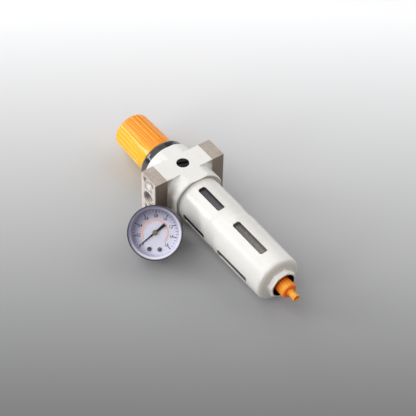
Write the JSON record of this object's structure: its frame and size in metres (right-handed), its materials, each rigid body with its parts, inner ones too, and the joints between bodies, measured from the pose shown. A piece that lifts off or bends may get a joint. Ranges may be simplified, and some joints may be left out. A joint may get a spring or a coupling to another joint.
{
  "type": "filter regulator",
  "caption": "Compressed-air filter regulator lying on its back: knob and bonnet above a ported body, slotted metal bowl guard with drain below, and its loose pressure gauge.",
  "frame": {"origin": "mouth of the rear gauge port, in the plane of the back faces that the unit lies on, level with the centre line of the inlet and outlet ports", "axes": "+X from the inlet plate to the outlet plate, +Y along the unit from the drain to the knob, +Z out of the front face"},
  "size_m": [0.0989, 0.2062, 0.0439],
  "materials": {
    "body_paint": "smooth warm white satin paint",
    "guard_paint": "smooth warm white half-gloss paint",
    "plate_metal": "bare die-cast metal, satin",
    "screw_steel": "zinc-plated",
    "spring_steel": "drawn spring wire",
    "seal_rubber": "black, matte",
    "black_nylon": "moulded, satin",
    "black_gloss": "moulded, glossy",
    "orange_plastic": "moulded, satin gloss",
    "brass_parts": "turned",
    "smoked_bowl": "clear smoky polycarbonate",
    "filter_white": "sintered",
    "grey_plastic": "moulded",
    "disc_metal": "turned",
    "case_paint": "pale grey gloss paint",
    "clear_lens": "clear acrylic",
    "dial_white": "matt white with printed scale",
    "dark_paint": "matt"
  },
  "bodies": {
    "body": {"housing": "body_paint", "left_plate": "plate_metal", "right_plate": "plate_metal", "plate_screws": "screw_steel", "plate_o_rings": "seal_rubber", "front_plug": "black_gloss", "front_plug_o_ring": "seal_rubber", "bonnet": "black_nylon", "thrust_washer": "screw_steel", "diaphragm": "seal_rubber", "filter_holder": "grey_plastic", "deflector": "black_nylon", "filter_element": "filter_white", "baffle": "black_nylon", "valve_spring": "spring_steel"},
    "ring": {"ring_nut": "black_gloss"},
    "spindle_set": {"spindle": "brass_parts"},
    "knob_cap": {"knob": "orange_plastic"},
    "spring_seat": {"spring_plate": "disc_metal", "range_spring": "spring_steel"},
    "diaphragm_set": {"diaphragm_disc": "disc_metal", "relief_disc": "disc_metal"},
    "valve_set": {"valve": "brass_parts", "valve_seal": "seal_rubber"},
    "bowl_set": {"bowl": "smoked_bowl", "bowl_o_ring": "seal_rubber"},
    "guard_set": {"bowl_guard": "guard_paint"},
    "drain_handle": {"drain_knob": "orange_plastic"},
    "drain_valve": {"drain_stem": "orange_plastic", "drain_seal": "seal_rubber"},
    "gauge": {"gauge_stem": "brass_parts", "gauge_case": "case_paint", "gauge_lens": "clear_lens", "gauge_dial": "dial_white", "gauge_dial_ring": "dark_paint", "gauge_dial_screws": "brass_parts", "gauge_movement": "brass_parts", "gauge_pressure_tube": "brass_parts", "gauge_pinion": "brass_parts", "gauge_sector": "brass_parts"},
    "gauge_pointer": {"gauge_needle": "dark_paint", "gauge_needle_hub": "brass_parts"}
  },
  "joints": [
    {"name": "ring_turn", "type": "hinge", "parent": "body", "child": "ring", "pos_m": [0, 0.0235, 0.02], "axis": [0, 1, 0], "continuous": true},
    {"name": "setting_turn", "type": "hinge", "parent": "body", "child": "spindle_set", "pos_m": [0, 0.05, 0.02], "axis": [0, -1, 0], "range_deg": [0, 1800]},
    {"name": "knob_pull", "type": "slide", "parent": "spindle_set", "child": "knob_cap", "axis": [0, 1, 0], "range_m": [0, 0.003]},
    {"name": "spring_set", "type": "slide", "parent": "body", "child": "spring_seat", "axis": [0, -1, 0], "range_m": [0, 0.0075], "deforming": ["range_spring"]},
    {"name": "diaphragm_stroke", "type": "slide", "parent": "body", "child": "diaphragm_set", "axis": [0, -1, 0], "range_m": [0, 0.0012], "deforming": ["diaphragm"]},
    {"name": "valve_stroke", "type": "slide", "parent": "body", "child": "valve_set", "axis": [0, -1, 0], "range_m": [0, 0.0012], "deforming": ["valve_spring"]},
    {"name": "bowl_draw", "type": "slide", "parent": "body", "child": "bowl_set", "axis": [0, -1, 0], "range_m": [0, 0.06]},
    {"name": "guard_turn", "type": "hinge", "parent": "bowl_set", "child": "guard_set", "pos_m": [0, -0.06, 0.02], "axis": [0, -1, 0], "range_deg": [0, 1440]},
    {"name": "drain_turn", "type": "hinge", "parent": "bowl_set", "child": "drain_handle", "pos_m": [0, -0.124, 0.02], "axis": [0, -1, 0], "range_deg": [0, 90]},
    {"name": "drain_lift", "type": "slide", "parent": "bowl_set", "child": "drain_valve", "axis": [0, 1, 0], "range_m": [0, 0.0015]},
    {"name": "gauge_lift", "type": "slide", "parent": "body", "child": "gauge", "axis": [0, 0, 1], "range_m": [0, 0.06]},
    {"name": "needle_turn", "type": "hinge", "parent": "gauge", "child": "gauge_pointer", "pos_m": [-0.04645, -0.03297, 0.02294], "axis": [0.4464, 0.5714, -0.6886], "range_deg": [0, 267]}
  ],
  "couplings": [
    {"joint": "spring_set", "follows": "setting_turn", "m_per_rad": 0.00023873},
    {"joint": "valve_stroke", "follows": "diaphragm_stroke", "ratio": 1}
  ]
}
